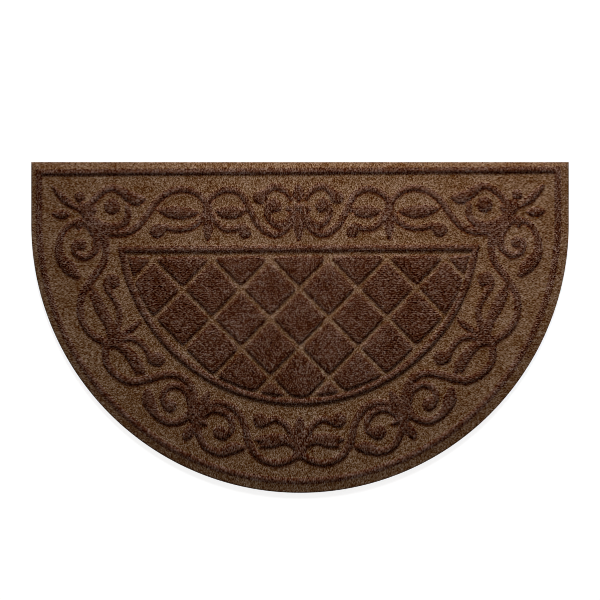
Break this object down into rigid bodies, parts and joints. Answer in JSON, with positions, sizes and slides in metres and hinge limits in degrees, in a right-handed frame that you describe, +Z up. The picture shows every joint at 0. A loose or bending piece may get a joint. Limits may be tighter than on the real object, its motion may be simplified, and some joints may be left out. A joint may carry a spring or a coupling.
{
  "type": "half-round doormat",
  "caption": "Half-round doormat of pressed pile with a raised scroll-and-berry border around an inner panel of raised diamond pads.",
  "frame": {"origin": "centre of the mat's bounding box on the floor under it", "axes": "+X along the straight door edge, +Y towards the door, +Z up"},
  "size_m": [0.9906, 0.6096, 0.0095],
  "materials": {
    "pile": "ribbed needled pile, dark red-brown where it stands and tan-brown where it is pressed flat, matt"
  },
  "bodies": {
    "root": {"mat": "pile"}
  },
  "joints": []
}
